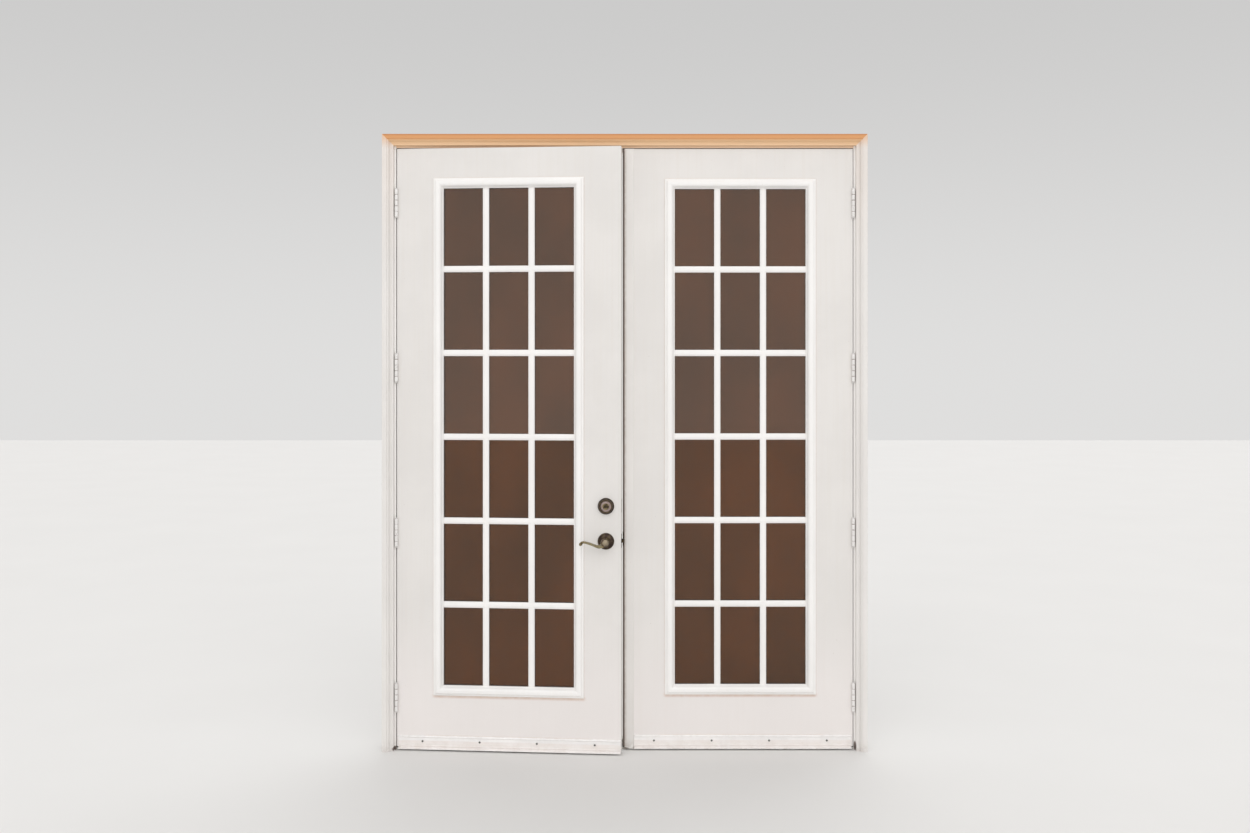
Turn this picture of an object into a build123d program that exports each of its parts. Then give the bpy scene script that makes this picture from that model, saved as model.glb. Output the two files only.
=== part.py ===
from build123d import *
import math
import os

# Pair of outward-opening, eighteen-light french doors in their frame.
# Millimetres. +X to the right seen from outside, +Y into the building, +Z up.
# Origin: middle of the sill's underside, at half the frame's depth.

os.makedirs("parts", exist_ok=True)

# ------------------------------------------------------------------ sizes
AXIS_X = 922.0        # hinge axis from the centre line
EDGE_GAP = 3.2        # slab to jamb and slab to head
SLAB_W, SLAB_T, SLAB_H = 908.0, 44.45, 2413.0
SLAB_Z = 14.0         # underside of the slabs
Y_EXT = -58.0         # outer face of slabs and frame edge
FRAME_D = 116.0
REBATE_T = 19.05      # frame thickness behind the slab edge
STOP = 12.7           # height of the stop
STOP_GAP = 8.0        # slab to stop, filled by the weatherstrip
AXIS_OUT = 8.0        # hinge axis in front of the slab face
REST_DEG = 4.6        # the active leaf stands ajar

CASING_W, REVEAL = 44.0, 8.0

LITE_W, LITE_H = 609.6, 2082.8       # glazing frame, outside
LITE_BAND = 40.0                     # its width
LITE_ABOVE = 209.0                   # its lower edge above the slab's
CUT_IN = 19.0                        # slab opening inside the glazing frame's edge
PANE_T, GLASS_DEEP = 4.0, 12.6       # pane, and its depth below the slab face
GLASS_IN = 25.4                      # pane edge inside the glazing frame's edge
BAR_W, BAR_H = 25.4, 7.6             # glazing bars
COLS, ROWS = 3, 6

HINGE_H, HINGE_D, PLATE_T = 114.3, 38.0, 3.0
BARREL_R, PIN_R, PIN_FIT = 6.5, 3.2, 0.07
KNUCKLE_GAP = 0.3
HINGE_Z = [213.0 + i * 664.67 for i in range(4)]

LEVER_Z, LOCK_RISE, BACKSET = 851.5, 139.7, 60.3
LATCH_THROW = 12.7

ASTRAGAL_T = 21.2     # from the inactive slab's edge towards the active leaf

# ------------------------------------------------------------ derived
Y_IN = Y_EXT + SLAB_T
Y_BACK = Y_EXT + FRAME_D
Y_STOP = Y_IN + STOP_GAP
Y_MID = (Y_EXT + Y_IN) / 2
Y_AXIS = Y_EXT - AXIS_OUT
X_JAMB = AXIS_X + EDGE_GAP / 2
X_HINGE_EDGE = AXIS_X - EDGE_GAP / 2
X_MEET = X_HINGE_EDGE - SLAB_W
X_LEAF = X_HINGE_EDGE - SLAB_W / 2
X_BACK = X_JAMB + REBATE_T
SLAB_TOP = SLAB_Z + SLAB_H
Z_HEAD = SLAB_TOP + EDGE_GAP
Z_TOP = Z_HEAD + REBATE_T
LITE_Z = SLAB_Z + LITE_ABOVE + LITE_H / 2
X_CASING = X_JAMB + REVEAL
LOCK_Z = LEVER_Z + LOCK_RISE
X_AST = X_MEET - ASTRAGAL_T


def box(x0, x1, y0, y1, z0, z1):
    return Pos((x0 + x1) / 2, (y0 + y1) / 2, (z0 + z1) / 2) * Box(abs(x1 - x0), abs(y1 - y0), abs(z1 - z0))


def rod(p, direction, r, length):
    """A cylinder that starts at p and runs along direction."""
    return Plane(origin=p, z_dir=direction) * Pos(0, 0, length / 2) * Cylinder(r, length)


def cone(p, direction, r0, r1, length):
    return Plane(origin=p, z_dir=direction) * Pos(0, 0, length / 2) * Cone(r0, r1, length)


def outline(points):
    """A face in the local plane. An entry ("arc", mid, end) is an arc."""
    edges, here = [], points[0]
    for p in list(points[1:]) + [points[0]]:
        if p[0] == "arc":
            edges.append(ThreePointArc(here, p[1], p[2]))
            here = p[2]
        elif p != here:
            edges.append(Line(here, p))
            here = p
    return make_face(Wire(edges))


def run(points, origin, x_dir, along, length):
    """Extrude an outline given in (u, v): u along x_dir, extruded along `along`."""
    return extrude(Plane(origin=origin, x_dir=x_dir, z_dir=along) * outline(points), amount=length)


def prism_z(points, z0, z1):
    return run(points, (0, 0, z0), (1, 0, 0), (0, 0, 1), z1 - z0)


def prism_x(points_yz, x0, x1):
    return run(points_yz, (x0, 0, 0), (0, 1, 0), (1, 0, 0), x1 - x0)


def prism_y(points_xz, y0, y1):
    """u is +X and v is +Z, extruded from y1 back to y0."""
    return run(points_xz, (0, y1, 0), (1, 0, 0), (0, -1, 0), y1 - y0)


def flip(shape):
    """The left-hand copy of a right-hand piece."""
    return mirror(shape, about=Plane.YZ)


def recess(r):
    """Cross recess of a screw's head, about the local origin, 1.4 deep."""
    a = Pos(0, 0, 0.7) * Box(2 * r, 0.5 * r, 1.4)
    return a + Pos(0, 0, 0.7) * Box(0.5 * r, 2 * r, 1.4)


def flat_screw(p, direction, head_r, head_h, r, length):
    """Countersunk screw with its head's face at p. Returns (screw, what it displaces)."""
    plain = cone(p, direction, head_r, r, head_h) + rod(p, direction, r, length)
    cut = Plane(origin=p, z_dir=direction) * recess(head_r * 0.62)
    return plain - cut, plain


def pan_screw(p, direction, head_r, head_h, r, length):
    """Pan-head screw whose head stands on the surface at p."""
    head = Plane(origin=p, z_dir=direction) * Pos(0, 0, -head_h / 2) * Cylinder(head_r, head_h)
    rim = head.edges().filter_by(GeomType.CIRCLE).sort_by(Axis(origin=p, direction=direction))[0]
    head = fillet(rim, head_h * 0.55)
    shank = rod(p, direction, r, length)
    top = tuple(a - head_h * b for a, b in zip(p, direction))
    cut = Plane(origin=top, z_dir=direction) * recess(head_r * 0.6)
    return head + shank - cut, shank


def solids(shapes):
    out = []
    for s in shapes:
        out += list(s.solids())
    return out


nodes = {}


def put(name, *shapes):
    nodes[name] = solids(shapes)


# ------------------------------------------------------------------ frame
jamb = prism_z(
    [(X_JAMB, Y_EXT), (X_BACK, Y_EXT), (X_BACK, Y_BACK), (X_JAMB - STOP, Y_BACK), (X_JAMB - STOP, Y_STOP), (X_JAMB, Y_STOP)],
    0, Z_TOP)
# kerf for the weatherstrip's barb
jamb -= box(X_JAMB - 5.0, X_JAMB - 2.0, Y_STOP, Y_STOP + 9, 0, Z_TOP)
# fixing holes through the jamb into the wall's studs, under the weatherstrip's line
FIX_Z = [300.0, 980.0, 1500.0, 2180.0]
FIX_Y, FIX_R = 24.0, 2.75
for z in FIX_Z:
    jamb -= rod((X_JAMB - STOP - 1, FIX_Y, z), (1, 0, 0), FIX_R, 50)
    jamb -= cone((X_JAMB - STOP, FIX_Y, z), (1, 0, 0), 5.5, FIX_R, 3.0)

head = box(-X_JAMB, X_JAMB, Y_EXT, Y_STOP, Z_HEAD, Z_TOP)
head += box(-(X_JAMB - STOP), X_JAMB - STOP, Y_STOP, Y_BACK, Z_HEAD - STOP, Z_TOP)
head -= box(-(X_JAMB - STOP), X_JAMB - STOP, Y_STOP, Y_STOP + 9, Z_HEAD - 5.0, Z_HEAD - 2.0)

# exterior casing: flat outer band, ogee, bead at the inner edge
CASING = [(0, 0), (0, 13.5), ("arc", (1.1, 16.6), (4.0, 17.6)), (6.0, 17.6), (6.0, 15.8), (8.0, 15.8),
          ("arc", (13.4, 17.9), (16.4, 22.4)), ("arc", (19.4, 27.4), (24.6, 29.2)), (25.6, 32.0), (42.5, 32.0),
          ("arc", (43.56, 31.56), (44.0, 30.5)), (44.0, 0)]
TOP_OUT = Z_HEAD + REVEAL + CASING_W
# side: u is +X, v is -Y
side = extrude(Plane(origin=(X_CASING, Y_EXT, TOP_OUT), x_dir=(1, 0, 0), z_dir=(0, 0, -1)) * outline(CASING), amount=TOP_OUT)
mitre = prism_y([(X_CASING - 50, TOP_OUT - CASING_W - 50), (X_CASING + CASING_W + 50, TOP_OUT + 50), (X_CASING - 50, TOP_OUT + 50)],
                Y_EXT - 60, Y_EXT + 10)
side -= mitre
# head: u is +Z, v is -Y
HALF = X_CASING + CASING_W
top = extrude(Plane(origin=(-HALF, Y_EXT, Z_HEAD + REVEAL), x_dir=(0, 0, 1), z_dir=(1, 0, 0)) * outline(CASING), amount=2 * HALF)
keep = prism_y([(-HALF, TOP_OUT), (HALF, TOP_OUT), (X_CASING, TOP_OUT - CASING_W), (-X_CASING, TOP_OUT - CASING_W)], Y_EXT - 60, Y_EXT + 10)
top = top & keep

# sill: hardwood base under an extruded saddle with a raised bumper
BASE = [(-51.5, 0), (55.5, 0), (55.5, 17.5), (29.5, 28.5), (-4.5, 28.5), (-4.5, 5.5), (-51.5, 5.5)]
SADDLE = [(-54, 0), (-51.5, 0), (-51.5, 5.5), (-4.5, 5.5), (-4.5, 28.5), (29.5, 28.5), (55.5, 17.5), (55.5, 0), (58, 0), (58, 19.4),
          (30.2, 31.2), ("arc", (12.0, 32.0), (-5.0, 31.0)), ("arc", (-6.8, 30.0), (-7.5, 28.2)), (-7.5, 8), (-52.5, 8),
          ("arc", (-53.56, 7.56), (-54, 6.5))]
base = prism_x(BASE, -X_JAMB, X_JAMB)
saddle = prism_x(SADDLE, -X_JAMB, X_JAMB)
notch = [box(s * (X_JAMB - STOP), s * (X_BACK + 1), Y_STOP, Y_BACK + 1, -1, 60) for s in (1, -1)]
base, saddle = base - notch, saddle - notch
sill_gasket = prism_x([(-7.5, 17.0), (-7.5, 27.0), (-9.0, 27.6), ("arc", (-13.1, 23.6), (-9.5, 19.6)), (-10.0, 17.8)],
                      -(X_JAMB - STOP - 0.6), X_JAMB - STOP - 0.6)

# weatherstrips: bulb in front of the stop, barb in the kerf
strip_side = prism_z(
    [(X_JAMB - 0.5, Y_STOP), (X_JAMB - 2.2, Y_STOP), (X_JAMB - 2.2, Y_STOP + 6.5), (X_JAMB - 4.8, Y_STOP + 6.5), (X_JAMB - 4.8, Y_STOP),
     (X_JAMB - 11.6, Y_STOP), (X_JAMB - 11.6, Y_STOP - 2.0), ("arc", (X_JAMB - 6.2, Y_STOP - 7.6), (X_JAMB - 0.5, Y_STOP - 2.4))],
    33.0, Z_HEAD - 0.4)
strip_head = prism_x(
    [(Y_STOP, Z_HEAD - 0.5), (Y_STOP, Z_HEAD - 2.2), (Y_STOP + 6.5, Z_HEAD - 2.2), (Y_STOP + 6.5, Z_HEAD - 4.8), (Y_STOP, Z_HEAD - 4.8),
     (Y_STOP, Z_HEAD - 11.6), (Y_STOP - 2.0, Z_HEAD - 11.6), ("arc", (Y_STOP - 7.6, Z_HEAD - 6.2), (Y_STOP - 2.4, Z_HEAD - 0.5))],
    -(X_JAMB - STOP - 0.1), X_JAMB - STOP - 0.1)

# ------------------------------------------------------------------ hinges (right hand)
seg = HINGE_H / 5


def knuckles(z, which, x0, x1):
    """Plate between x0 and x1 with its knuckles on the axis."""
    zb = z - HINGE_H / 2
    body = box(x0, x1, Y_EXT, Y_EXT + HINGE_D, zb, zb + HINGE_H)
    body = fillet(body.edges().filter_by(Axis.X).group_by(Axis.Y)[-1], 6.0)
    for k in which:
        a = zb + k * seg + (KNUCKLE_GAP / 2 if k else 0)
        b = zb + (k + 1) * seg - (KNUCKLE_GAP / 2 if k < 4 else 0)
        body += box(x0, x1, Y_AXIS, Y_EXT + 1, a, b)
        body += rod((AXIS_X, Y_AXIS, a), (0, 0, 1), BARREL_R, b - a)
    return body - rod((AXIS_X, Y_AXIS, zb - 1), (0, 0, 1), PIN_R + PIN_FIT, HINGE_H + 2)


jamb_plates, door_plates, pins = [], [], []
jamb_screws, door_screws, jamb_cuts, door_cuts = [], [], [], []
for z in HINGE_Z:
    jp = knuckles(z, (0, 2, 4), X_JAMB, X_JAMB + PLATE_T)
    dp = knuckles(z, (1, 3), X_HINGE_EDGE - PLATE_T, X_HINGE_EDGE)
    jamb_cuts.append(box(X_JAMB - 1, X_JAMB + PLATE_T, Y_EXT - 1, Y_EXT + HINGE_D, z - HINGE_H / 2, z + HINGE_H / 2))
    door_cuts.append(box(X_HINGE_EDGE - PLATE_T, X_HINGE_EDGE + 1, Y_EXT - 1, Y_EXT + HINGE_D, z - HINGE_H / 2, z + HINGE_H / 2))
    for dz, dy in ((-43, 14), (-17, 27), (17, 27), (43, 14)):
        s, c = flat_screw((X_JAMB, Y_EXT + dy, z + dz), (1, 0, 0), 4.2, 2.6, 2.1, 17.5)
        jamb_screws.append(s)
        jamb_cuts.append(c)
        jp -= c
        s, c = flat_screw((X_HINGE_EDGE, Y_EXT + dy, z + dz), (-1, 0, 0), 4.2, 2.6, 2.1, 30.0)
        door_screws.append(s)
        door_cuts.append(c)
        dp -= c
    jamb_plates.append(jp)
    door_plates.append(dp)
    zb = z - HINGE_H / 2
    pin = rod((AXIS_X, Y_AXIS, zb - 2.0), (0, 0, 1), PIN_R, HINGE_H + 2.0)
    cap = rod((AXIS_X, Y_AXIS, zb + HINGE_H), (0, 0, 1), 5.6, 3.0)
    cap = fillet(cap.edges().filter_by(GeomType.CIRCLE).sort_by(Axis.Z)[-1], 2.0)
    tip = rod((AXIS_X, Y_AXIS, zb - 3.0), (0, 0, 1), 5.0, 3.0)
    tip = fillet(tip.edges().filter_by(GeomType.CIRCLE).sort_by(Axis.Z)[0], 2.0)
    pins.append(pin + cap + tip)
jamb_r = jamb - jamb_cuts

# strike plate of the top flush bolt, let into the head
BOLT_X, BOLT_Y, ROD_R = -1.0, -30.0, 4.0
bolt_strike = box(BOLT_X - 25, BOLT_X + 25, BOLT_Y - 11, BOLT_Y + 11, Z_HEAD, Z_HEAD + 2.0)
bolt_strike = fillet(bolt_strike.edges().filter_by(Axis.Z), 5.0)
head -= bolt_strike
bolt_strike -= rod((BOLT_X, BOLT_Y, Z_HEAD - 1), (0, 0, 1), 5.0, 4)
frame_screws = jamb_screws + [flip(s) for s in jamb_screws]
for dx in (-17, 17):
    s, c = flat_screw((BOLT_X + dx, BOLT_Y, Z_HEAD), (0, 0, 1), 3.6, 2.0, 1.7, 14)
    frame_screws.append(s)
    bolt_strike -= c
    head -= c
head -= rod((BOLT_X, BOLT_Y, Z_HEAD), (0, 0, 1), 5.0, 15.5)
saddle -= rod((BOLT_X, BOLT_Y, -1), (0, 0, 1), 5.0, 12)
base -= rod((BOLT_X, BOLT_Y, -1), (0, 0, 1), 5.0, 12)

# ------------------------------------------------------------------ glazing (about the leaf's centre)
LITE = [(0, 0), (0, 2.4), ("arc", (0.5, 3.6), (1.8, 4.2)), (7.0, 5.2), (7.8, 8.0), ("arc", (10.6, 10.9), (14.6, 12.0)), (22.0, 12.0),
        ("arc", (28.6, 9.6), (33.0, 4.6)), ("arc", (36.0, -0.6), (40.0, -3.6)), (40.0, -GLASS_DEEP), (20.6, -GLASS_DEEP), (20.6, 0)]


def lite_frame():
    """Mitred ring, its back on the plane v = 0, standing towards -Y, about the origin."""
    w, h = LITE_W / 2, LITE_H / 2
    ring = None
    for origin, x_dir, along, length, tri in (
        ((-w, 0, h), (1, 0, 0), (0, 0, -1), 2 * h, [(-w, -h), (-w, h), (-w + LITE_BAND, h - LITE_BAND), (-w + LITE_BAND, -h + LITE_BAND)]),
        ((w, 0, -h), (-1, 0, 0), (0, 0, 1), 2 * h, [(w, -h), (w, h), (w - LITE_BAND, h - LITE_BAND), (w - LITE_BAND, -h + LITE_BAND)]),
        ((-w, 0, -h), (0, 0, 1), (1, 0, 0), 2 * w, [(-w, -h), (w, -h), (w - LITE_BAND, -h + LITE_BAND), (-w + LITE_BAND, -h + LITE_BAND)]),
        ((w, 0, h), (0, 0, -1), (-1, 0, 0), 2 * w, [(-w, h), (w, h), (w - LITE_BAND, h - LITE_BAND), (-w + LITE_BAND, h - LITE_BAND)]),
    ):
        member = extrude(Plane(origin=origin, x_dir=x_dir, z_dir=along) * outline(LITE), amount=length)
        member = member & prism_y(tri, -40, 40)
        ring = member if ring is None else ring + member
    return ring


def grille():
    """Glazing bars standing from y = 0 towards -Y."""
    w, h = LITE_W / 2 - LITE_BAND, LITE_H / 2 - LITE_BAND
    b = BAR_W / 2
    profile = [(-b, 0), (-b, 3.2), ("arc", (-b + 0.9, 4.9), (-b + 2.4, 5.6)), (-5.0, BAR_H), (5.0, BAR_H), (b - 2.4, 5.6),
               ("arc", (b - 0.9, 4.9), (b, 3.2)), (b, 0)]
    bars = []
    for i in range(1, COLS):
        x = -w + (2 * w - (COLS - 1) * BAR_W) / COLS * i + BAR_W * (i - 0.5)
        bars.append(extrude(Plane(origin=(x, 0, h), x_dir=(1, 0, 0), z_dir=(0, 0, -1)) * outline(profile), amount=2 * h))
    for j in range(1, ROWS):
        z = -h + (2 * h - (ROWS - 1) * BAR_W) / ROWS * j + BAR_W * (j - 0.5)
        bars.append(extrude(Plane(origin=(-w, 0, z), x_dir=(0, 0, 1), z_dir=(1, 0, 0)) * outline(profile), amount=2 * w))
    out = bars[0]
    for s in bars[1:]:
        out += s
    return out


ring, bars = lite_frame(), grille()
at = Pos(X_LEAF, 0, LITE_Z)
ext_ring = at * Pos(0, Y_EXT, 0) * ring
int_ring = at * Pos(0, Y_IN, 0) * mirror(ring, about=Plane.XZ)
ext_bars = at * Pos(0, Y_EXT + GLASS_DEEP, 0) * bars
int_bars = at * Pos(0, Y_IN - GLASS_DEEP, 0) * mirror(bars, about=Plane.XZ)
gw, gh = LITE_W / 2 - GLASS_IN, LITE_H / 2 - GLASS_IN
outer_pane = box(X_LEAF - gw, X_LEAF + gw, Y_EXT + GLASS_DEEP, Y_EXT + GLASS_DEEP + PANE_T, LITE_Z - gh, LITE_Z + gh)
inner_pane = box(X_LEAF - gw, X_LEAF + gw, Y_IN - GLASS_DEEP - PANE_T, Y_IN - GLASS_DEEP, LITE_Z - gh, LITE_Z + gh)
y0, y1 = Y_EXT + GLASS_DEEP + PANE_T, Y_IN - GLASS_DEEP - PANE_T
spacer = box(X_LEAF - gw + 2, X_LEAF + gw - 2, y0, y1, LITE_Z - gh + 2, LITE_Z + gh - 2)
spacer -= box(X_LEAF - gw + 11, X_LEAF + gw - 11, y0 - 1, y1 + 1, LITE_Z - gh + 11, LITE_Z + gh - 11)
# screws that draw the two glazing frames together, set from inside
lite_screws = []
sw, sh = LITE_W / 2 - 23.0, LITE_H / 2 - 23.0
spots = [(sx * sw, z) for sx in (-1, 1) for z in (-930, -310, 310, 930)] + [(x, sz * sh) for sz in (-1, 1) for x in (-170, 170)]
for dx, dz in spots:
    p = (X_LEAF + dx, Y_IN + 11.0, LITE_Z + dz)
    s, c = flat_screw(p, (0, -1, 0), 3.6, 2.4, 1.6, 11.0 + SLAB_T - 3.0)
    lite_screws.append(s)
    ext_ring -= c
    int_ring -= c
    int_ring -= rod((p[0], p[1] + 4, p[2]), (0, -1, 0), 3.6, 4.0)

# ------------------------------------------------------------------ slab (right hand)
slab = box(X_MEET, X_HINGE_EDGE, Y_EXT, Y_IN, SLAB_Z, SLAB_TOP)
cw, ch = LITE_W / 2 - CUT_IN, LITE_H / 2 - CUT_IN
slab -= box(X_LEAF - cw, X_LEAF + cw, Y_EXT - 1, Y_IN + 1, LITE_Z - ch, LITE_Z + ch)
slab -= door_cuts

# drip sweep screwed to the foot of the leaf
SWEEP_X0, SWEEP_X1 = X_MEET + 1.0, X_HINGE_EDGE - 6.0
SWEEP = [(0, 6.0), (0, 60.0), (1.8, 60.0), ("arc", (5.6, 57.0), (4.6, 52.4)), (2.6, 50.8), (2.6, 22.0), (4.4, 21.0), (4.4, 18.0), (2.8, 16.6), (2.8, 12.6),
         ("arc", (6.2, 10.4), (10.6, 9.4)), ("arc", (11.4, 7.4), (10.2, 6.0))]
sweep_strip = extrude(Plane(origin=(SWEEP_X1, Y_EXT, 0), x_dir=(0, -1, 0), z_dir=(-1, 0, 0)) * outline(SWEEP), amount=SWEEP_X1 - SWEEP_X0)
FLANGE_X = 36.4       # edge of the astragal's outer flange
sweep_screws = []
for d in (105, 338, 570, 803):
    s, c = pan_screw((X_MEET + d, Y_EXT - 2.6, 38.0), (0, 1, 0), 4.0, 2.2, 1.8, 26.0)
    sweep_screws.append(s)
    sweep_strip -= c
    slab -= c
# the inactive leaf's sweep starts beside the astragal's flange
sweep_inactive = sweep_strip - box(X_MEET - 5, FLANGE_X + 1.0, Y_EXT - 20, Y_EXT + 1, 0, 70)

# ------------------------------------------------------------------ astragal on the inactive leaf
AST = [(X_AST + 7.5, -62.0), (FLANGE_X - 1.9, -62.0), ("arc", (FLANGE_X - 0.6, -61.4), (FLANGE_X, -60.0)), (FLANGE_X, Y_EXT), (X_MEET, Y_EXT), (X_MEET, Y_IN), (X_AST, Y_IN),
       (X_AST, -48.0), (X_AST + 7.5, -48.0), (X_AST + 7.5, -52.5), (X_AST + 12.0, -52.5), (X_AST + 12.0, -55.0), (X_AST + 7.5, -55.0)]
astragal = prism_z(AST, SLAB_Z, SLAB_TOP)
# the outer flange runs down level with the sweep's lower edge
astragal += prism_z([(X_AST + 7.5, -62.0), (FLANGE_X - 1.9, -62.0), ("arc", (FLANGE_X - 0.6, -61.4), (FLANGE_X, -60.0)), (FLANGE_X, Y_EXT), (X_AST + 7.5, Y_EXT)],
                    6.0, SLAB_Z)
gasket = prism_z(
    [(X_AST + 12.0, -52.6), (X_AST + 7.5, -52.6), (X_AST + 7.5, -48.1), (X_AST + 2.6, -48.1), ("arc", (X_AST + 1.9, -53.0), (X_AST + 3.6, -57.4)),
     (X_AST + 7.5, -58.2), (X_AST + 7.5, -54.9), (X_AST + 12.0, -54.9)],
    SLAB_Z, SLAB_TOP)
ast_screws, slab_cuts = [], []
for z in (300.0, 640.0, 1180.0, 1560.0, 1940.0, 2200.0):
    s, c = flat_screw((X_AST, Y_MID - 4, z), (1, 0, 0), 4.0, 2.6, 2.0, 48.0)
    ast_screws.append(s)
    astragal -= c
    slab_cuts.append(c)

# latch strike with a curled lip, and deadbolt strike
latch_strike = box(X_AST, X_AST + 1.6, -48.0, -24.0, LEVER_Z - 28.5, LEVER_Z + 28.5)
astragal -= latch_strike
lip = run([(0, 0), (0, 1.6), (11.0, 1.6), ("arc", (12.6, 2.4), (13.2, 4.2)), (14.8, 4.2), ("arc", (13.9, 1.3), (11.0, 0))],
          (X_AST, -48.0, LEVER_Z - 28.5), (0, -1, 0), (0, 0, 1), 57.0)
lip = lip & prism_x([(-48.1, LEVER_Z + 28.5), (-55, LEVER_Z + 26), (-64, LEVER_Z + 20), (-64, LEVER_Z - 20), (-55, LEVER_Z - 26), (-48.1, LEVER_Z - 28.5), (-47.9, LEVER_Z)],
                    X_AST - 10, X_AST + 20)
latch_strike = latch_strike + lip
pocket = box(X_AST - 1, X_AST + 15.0, Y_MID - 7.2, Y_MID + 7.2, LEVER_Z - 9.0, LEVER_Z + 9.0)
latch_strike -= pocket
astragal -= pocket
dead_strike = box(X_AST, X_AST + 1.6, -47.0, -24.6, LOCK_Z - 28.5, LOCK_Z + 28.5)
dead_strike = fillet(dead_strike.edges().filter_by(Axis.X), 5.0)
astragal -= dead_strike
dead_pocket = box(X_AST - 1, X_MEET + 4.0, Y_MID - 7.6, Y_MID + 7.6, LOCK_Z - 10.5, LOCK_Z + 10.5)
dead_strike -= dead_pocket
astragal -= dead_pocket
for z in (LEVER_Z, LOCK_Z):
    for dz in (-20.5, 20.5):
        s, c = flat_screw((X_AST, Y_MID, z + dz), (1, 0, 0), 3.6, 1.6, 1.7, 30.0)
        ast_screws.append(s)
        astragal -= c
        latch_strike -= c
        dead_strike -= c
        slab_cuts.append(c)

# flush bolts in the astragal's edge, under let-in face plates
def flush_bolt(end_z, up):
    """Channel, face plate and bolt. up is +1 at the top and -1 at the foot."""
    def z(d):
        return end_z - up * d

    channel = box(X_AST - 1, X_AST + 12.5, BOLT_Y - 5.5, BOLT_Y + 5.5, z(-1), z(170))
    plate = box(X_AST, X_AST + 2.0, BOLT_Y - 11, BOLT_Y + 11, z(2), z(178))
    seat = plate
    plate = plate - box(X_AST - 1, X_AST + 3, BOLT_Y - 3.6, BOLT_Y + 3.6, z(112), z(146))
    stem = rod((BOLT_X, BOLT_Y, min(z(1.5), z(160))), (0, 0, 1), ROD_R, 158.5)
    tab = box(X_AST - 0.6, BOLT_X, BOLT_Y - 3.2, BOLT_Y + 3.2, z(132), z(144))
    return channel, seat, plate, stem + tab


bolt_cases, bolts = [], []
for end_z, up in ((SLAB_TOP, 1), (SLAB_Z, -1)):
    channel, seat, plate, bolt = flush_bolt(end_z, up)
    for d in (10.0, 168.0):
        s, c = flat_screw((X_AST, BOLT_Y + (0 if d > 100 else 8.2), end_z - up * (d + 5 if d > 100 else d)), (1, 0, 0), 2.2, 1.2, 1.1, 12.0)
        ast_screws.append(s)
        plate -= c
        astragal -= c
    astragal -= channel
    astragal -= seat
    bolt_cases.append(plate)
    bolts.append(bolt)

slab_inactive = slab - (slab_cuts + [dead_pocket])

# ------------------------------------------------------------------ lockset (in the active leaf, closed position, lock edge at -X_MEET)
XL = -X_MEET - BACKSET      # cross bores
slab_active = flip(slab)
lock_edge = -X_MEET
for z in (LEVER_Z, LOCK_Z):
    slab_active -= rod((XL, Y_EXT - 1, z), (0, 1, 0), 27.0, SLAB_T + 2)
    slab_active -= rod((lock_edge + 1, Y_MID, z), (-1, 0, 0), 12.7, BACKSET)
    slab_active -= box(lock_edge - 2.4, lock_edge + 1, Y_MID - 12.7, Y_MID + 12.7, z - 28.5, z + 28.5)

lock_screws, edge_cuts = [], []


def case(z, window):
    """Face plate, tube and rear housing of a latch or bolt."""
    plate = box(lock_edge - 2.4, lock_edge, Y_MID - 12.7, Y_MID + 12.7, z - 28.5, z + 28.5)
    tube = rod((lock_edge - 2.4, Y_MID, z), (-1, 0, 0), 12.6, 44.0)
    body = plate + tube - rod((lock_edge - 2.4, Y_MID, z), (-1, 0, 0), 11.4, 50.0)
    rear = box(XL - 10, lock_edge - 46.0, Y_MID - 6.5, Y_MID + 6.5, z - 11.0, z + 11.0)
    body += rear
    body -= box(XL + 8, lock_edge - 20, Y_MID - window[0] / 2 - 0.3, Y_MID + window[0] / 2 + 0.3, z - window[1] / 2 - 0.3, z + window[1] / 2 + 0.3)
    body -= rod((XL, Y_MID - 20, z), (0, 1, 0), 7.0, 40)
    body -= box(lock_edge - 3, lock_edge + 1, Y_MID - window[0] / 2 - 0.3, Y_MID + window[0] / 2 + 0.3, z - window[1] / 2 - 0.3, z + window[1] / 2 + 0.3)
    for dz in (-20.5, 20.5):
        s, c = flat_screw((lock_edge, Y_MID, z + dz), (-1, 0, 0), 3.6, 2.2, 1.7, 24.0)
        lock_screws.append(s)
        body -= c
        edge_cuts.append(c)
    return body


latch_case = case(LEVER_Z, (12.0, 15.0))
bolt_case = case(LOCK_Z, (13.0, 18.0))
slab_active -= edge_cuts

# latch tongue: bevelled on the side that meets the strike first as the leaf closes
tongue = box(lock_edge - 34.0, lock_edge + LATCH_THROW, Y_MID - 6.0, Y_MID + 6.0, LEVER_Z - 7.5, LEVER_Z + 7.5)
tongue -= prism_z([(lock_edge + 1.5, Y_MID + 6.01), (lock_edge + LATCH_THROW + 0.01, Y_MID - 4.0), (lock_edge + LATCH_THROW + 0.01, Y_MID + 6.01)],
                  LEVER_Z - 8, LEVER_Z + 8)
dead_bolt = box(lock_edge - 35.0, lock_edge - 0.5, Y_MID - 6.5, Y_MID + 6.5, LOCK_Z - 9.0, LOCK_Z + 9.0)
dead_bolt = fillet(dead_bolt.edges().filter_by(Axis.X), 2.0)


def turned(points, z, y, s):
    """A body turned about the Y axis through (XL, z). points are (radius, distance from the face), s is -1 outside and +1 inside."""
    return revolve(Plane(origin=(XL, y, z), x_dir=(1, 0, 0), z_dir=(0, 0, 1)) * outline([
        (p[0], tuple((q[0], s * q[1]) for q in (p[1],))[0], (p[2][0], s * p[2][1])) if p[0] == "arc" else (p[0], s * p[1]) for p in points]),
        axis=Axis((XL, y, z), (0, 1, 0)))


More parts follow.
